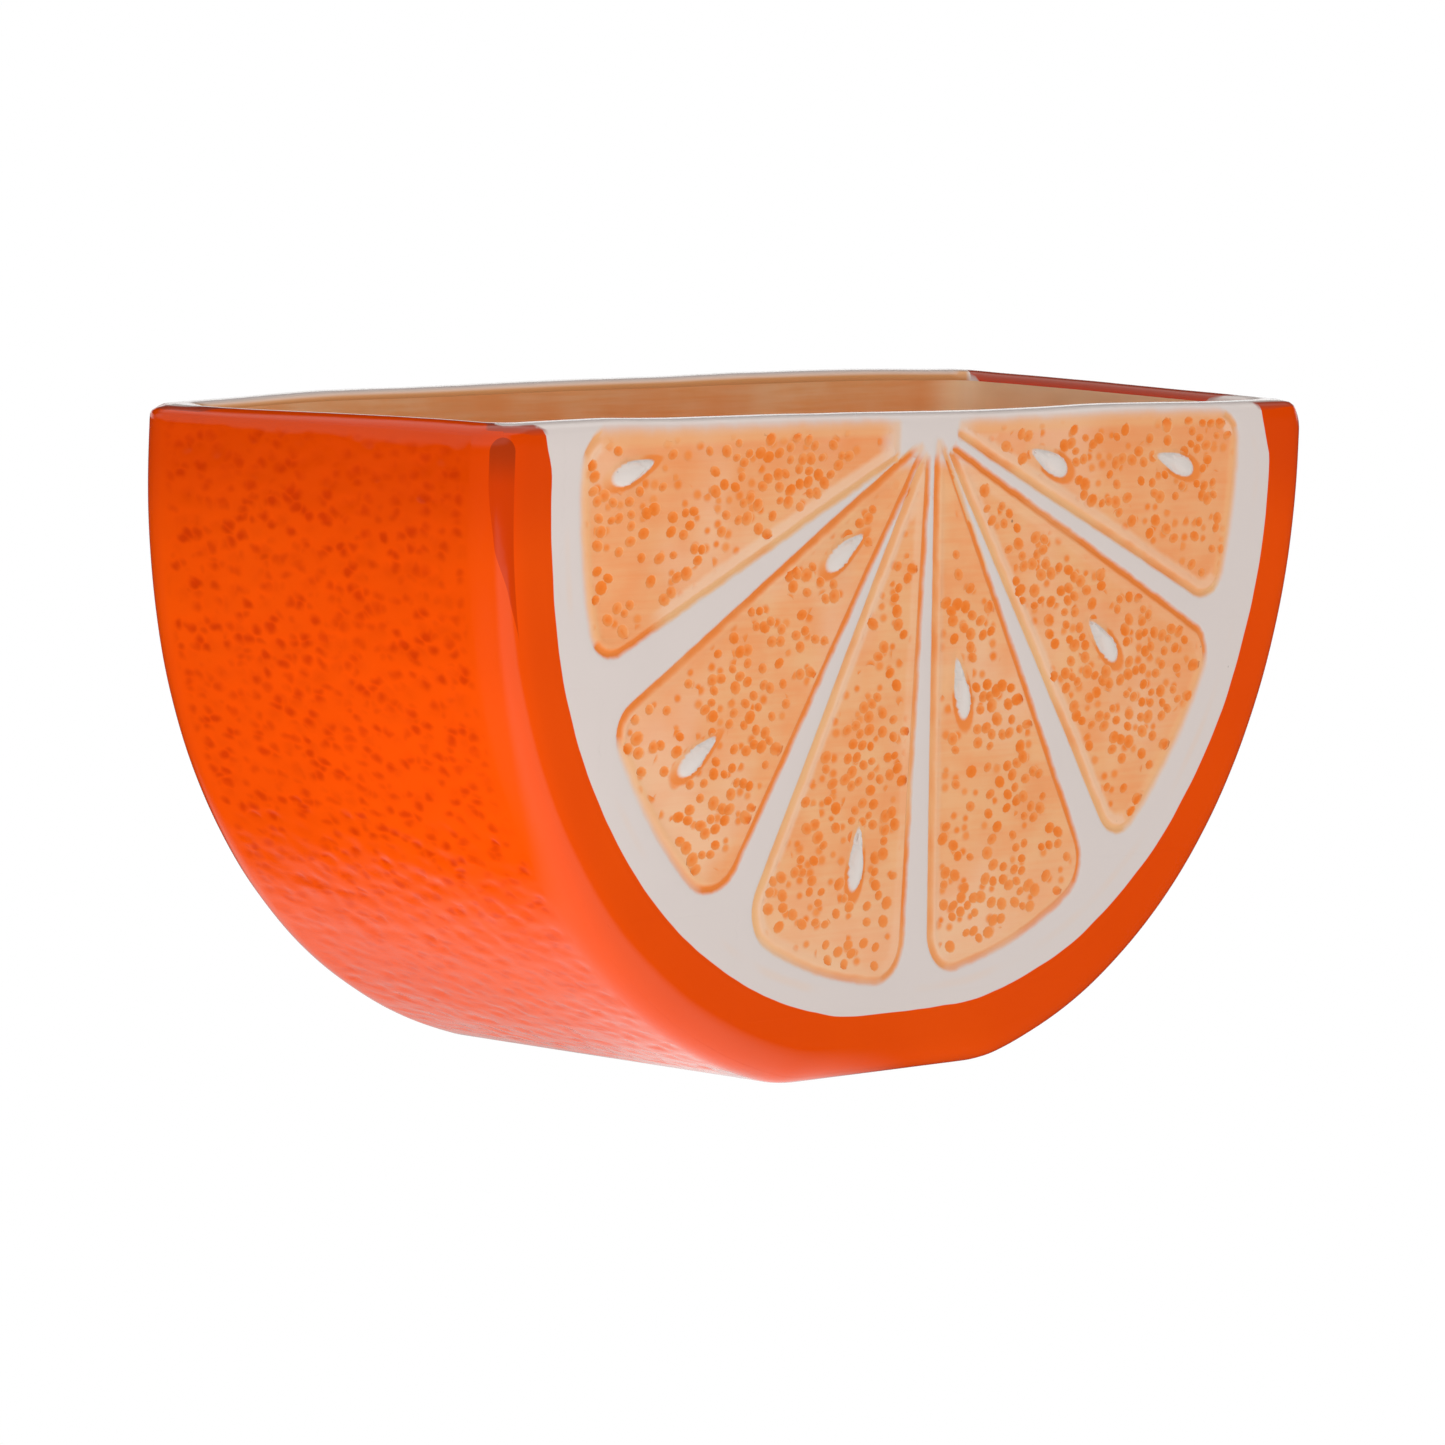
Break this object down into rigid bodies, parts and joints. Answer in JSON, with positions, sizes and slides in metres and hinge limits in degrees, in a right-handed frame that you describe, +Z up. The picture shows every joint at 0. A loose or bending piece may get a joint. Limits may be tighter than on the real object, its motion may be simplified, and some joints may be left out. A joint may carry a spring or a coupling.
{
  "type": "ceramic orange slice planter",
  "caption": "Glazed ceramic planter in the form of a thick half slice of orange: hollow and open on top, with grooved segments and raised seeds on both faces and a flat base.",
  "frame": {"origin": "middle of the flat base that it stands on", "axes": "+X along the rim from end to end of the slice, +Y from the front cut face to the back one, +Z up"},
  "size_m": [0.165, 0.0612, 0.084],
  "materials": {
    "orange_glaze": "glossy orange glaze on the rind, glossy off-white with a peach wash on the cut faces, tan wash inside"
  },
  "bodies": {
    "root": {"planter": "orange_glaze"}
  },
  "joints": []
}
